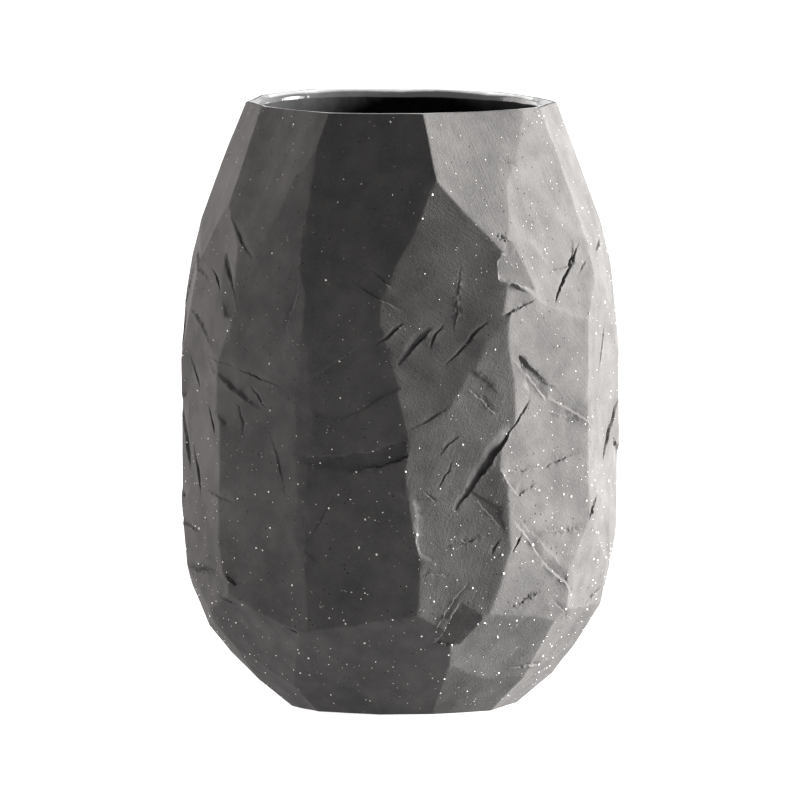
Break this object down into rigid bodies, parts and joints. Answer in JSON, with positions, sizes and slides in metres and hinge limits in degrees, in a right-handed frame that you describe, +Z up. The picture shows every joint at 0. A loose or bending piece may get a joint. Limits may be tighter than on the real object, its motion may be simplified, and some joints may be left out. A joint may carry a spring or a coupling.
{
  "type": "carved stoneware vase",
  "caption": "Upright barrel-shaped stoneware vase with a knife-faceted, unglazed dark outside and a black glazed inside and lip.",
  "frame": {"origin": "middle of the flat resting face under the foot", "axes": "+Z up along the axis of the turned shape, through the mouth; -Y out of the front; +X to the right seen from the front"},
  "size_m": [0.1804, 0.1823, 0.25],
  "materials": {
    "stoneware": "matte",
    "black_glaze": "gloss"
  },
  "bodies": {
    "root": {"stoneware_body": "stoneware", "glaze_lining": "black_glaze"}
  },
  "joints": []
}
